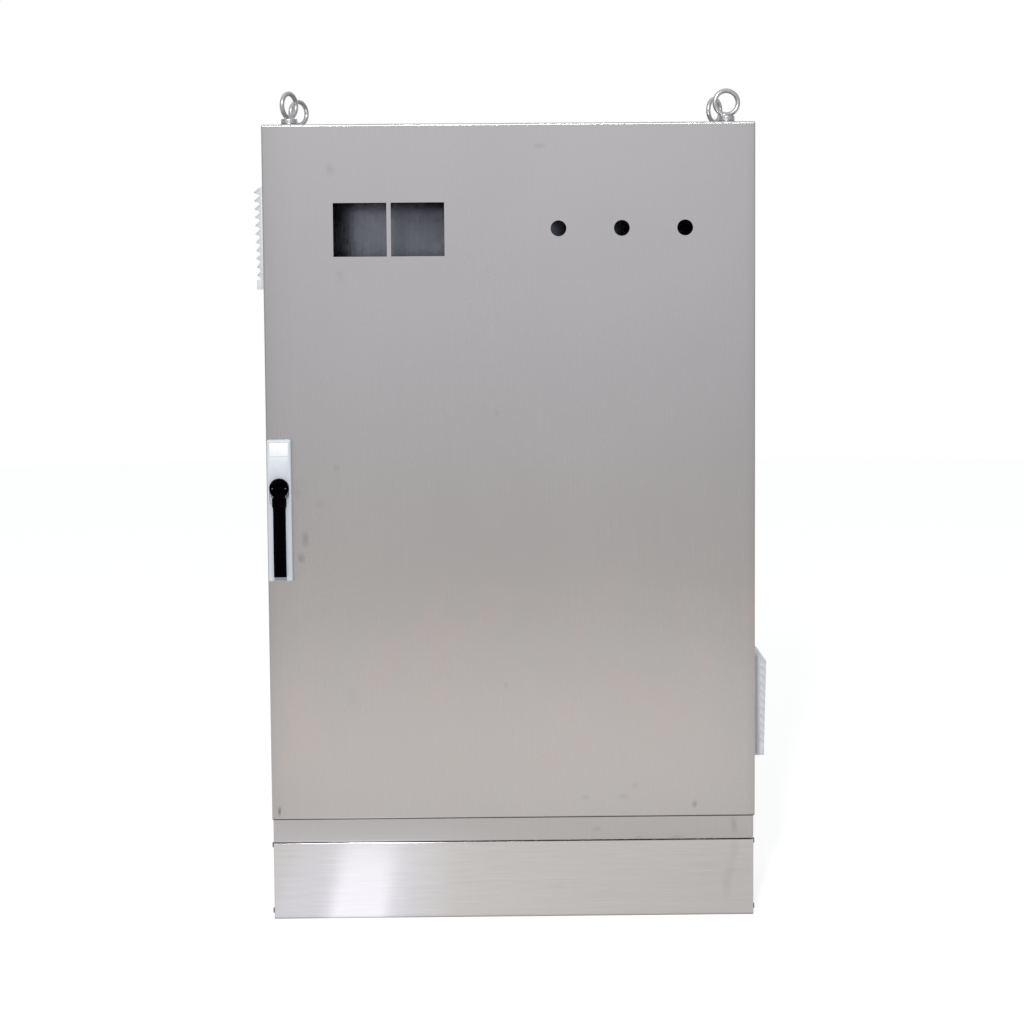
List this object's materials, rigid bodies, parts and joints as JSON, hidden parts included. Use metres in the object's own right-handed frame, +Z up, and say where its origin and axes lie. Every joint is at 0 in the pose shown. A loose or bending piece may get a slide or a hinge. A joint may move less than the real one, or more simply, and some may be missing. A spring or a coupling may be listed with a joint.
{
  "type": "electrical control cabinet",
  "caption": "Floor-standing stainless steel control cabinet with an overlay door, swing handle, louvred filter units, lifting eyes and a plinth.",
  "frame": {"origin": "on the floor, at the centre of the plinth's four floor anchor holes", "axes": "+Z up along the cabinet's height, +X to the right seen from the front, the door faces -Y"},
  "size_m": [0.745, 0.318, 1.199],
  "materials": {
    "stainless": "brushed",
    "zinc_sheet": "satin",
    "zinc_fasteners": "satin",
    "eye_steel": "satin",
    "dark_screws": "satin",
    "seal": "matte",
    "filter_grey": "matte",
    "filter_fibre": "matte",
    "fan_black": "matte",
    "handle_grey": "satin",
    "window_white": "gloss",
    "handle_black": "satin",
    "lock_plastic": "matte"
  },
  "bodies": {
    "cabinet": {"body_shell": "stainless", "mounting_plate": "zinc_sheet", "plate_studs": "zinc_fasteners", "plate_nuts": "zinc_fasteners", "gland_plate": "zinc_sheet", "gland_gasket": "seal", "gland_screws": "zinc_fasteners", "plinth_front": "stainless", "plinth_rear": "stainless", "plinth_side_left": "stainless", "plinth_side_right": "stainless", "plinth_screws": "dark_screws", "plinth_bolts": "zinc_fasteners", "plinth_nuts": "zinc_fasteners", "eye_bolts": "eye_steel", "eye_washers": "eye_steel", "eye_nuts": "zinc_fasteners", "hinge_body_leaves": "zinc_sheet", "hinge_leaf_screws": "zinc_fasteners", "latch_keepers": "zinc_sheet", "outlet_frame": "filter_grey", "outlet_mat": "filter_fibre", "outlet_hinge_pins": "zinc_fasteners", "fan_filter_frame": "filter_grey", "fan_mat": "filter_fibre", "fan_hinge_pins": "zinc_fasteners", "fan_housing": "fan_black", "fan_guard": "zinc_fasteners", "fan_screws": "zinc_fasteners", "earth_stud": "zinc_fasteners", "earth_nut": "zinc_fasteners"},
    "door": {"door_panel": "stainless", "door_gasket": "seal", "door_rails": "zinc_sheet", "hinge_door_leaves": "zinc_sheet", "hinge_pins": "zinc_fasteners", "door_studs": "zinc_fasteners", "door_nuts": "zinc_fasteners", "handle_housing": "handle_grey", "handle_window": "window_white", "handle_screws": "zinc_fasteners", "lock_case": "lock_plastic", "rod_guides": "lock_plastic"},
    "handle": {"handle_hub": "handle_black", "lever_pin": "zinc_fasteners", "pinion": "zinc_fasteners"},
    "lever": {"lever": "handle_black"},
    "upper_rod": {"upper_rod": "zinc_sheet"},
    "lower_rod": {"lower_rod": "zinc_sheet"},
    "outlet_cover": {"outlet_cover": "filter_grey"},
    "fan_cover": {"fan_cover": "filter_grey"},
    "fan_rotor": {"fan_rotor": "fan_black"}
  },
  "joints": [
    {"name": "door_swing", "type": "hinge", "parent": "cabinet", "child": "door", "pos_m": [0.342, -0.152, 0.65], "axis": [0, 0, 1], "range_deg": [0, 110]},
    {"name": "handle_turn", "type": "hinge", "parent": "door", "child": "handle", "pos_m": [-0.3314, -0.17, 0.6335], "axis": [0, -1, 0], "range_deg": [0, 90]},
    {"name": "lever_lift", "type": "hinge", "parent": "handle", "child": "lever", "pos_m": [-0.3314, -0.1725, 0.6335], "axis": [-1, 0, 0], "range_deg": [0, 45]},
    {"name": "upper_rod_slide", "type": "slide", "parent": "door", "child": "upper_rod", "axis": [0, 0, -1], "range_m": [0, 0.01414]},
    {"name": "lower_rod_slide", "type": "slide", "parent": "door", "child": "lower_rod", "axis": [0, 0, 1], "range_m": [0, 0.01414]},
    {"name": "outlet_cover_tilt", "type": "hinge", "parent": "cabinet", "child": "outlet_cover", "pos_m": [-0.3563, 0, 0.91775], "axis": [0, -1, 0], "range_deg": [0, 80]},
    {"name": "fan_cover_tilt", "type": "hinge", "parent": "cabinet", "child": "fan_cover", "pos_m": [0.3623, 0, 0.22525], "axis": [0, 1, 0], "range_deg": [0, 80]},
    {"name": "fan_spin", "type": "hinge", "parent": "cabinet", "child": "fan_rotor", "pos_m": [0.315, 0, 0.2975], "axis": [1, 0, 0], "continuous": true}
  ],
  "couplings": [
    {"joint": "upper_rod_slide", "follows": "handle_turn", "m_per_rad": 0.009},
    {"joint": "lower_rod_slide", "follows": "handle_turn", "m_per_rad": 0.009}
  ]
}
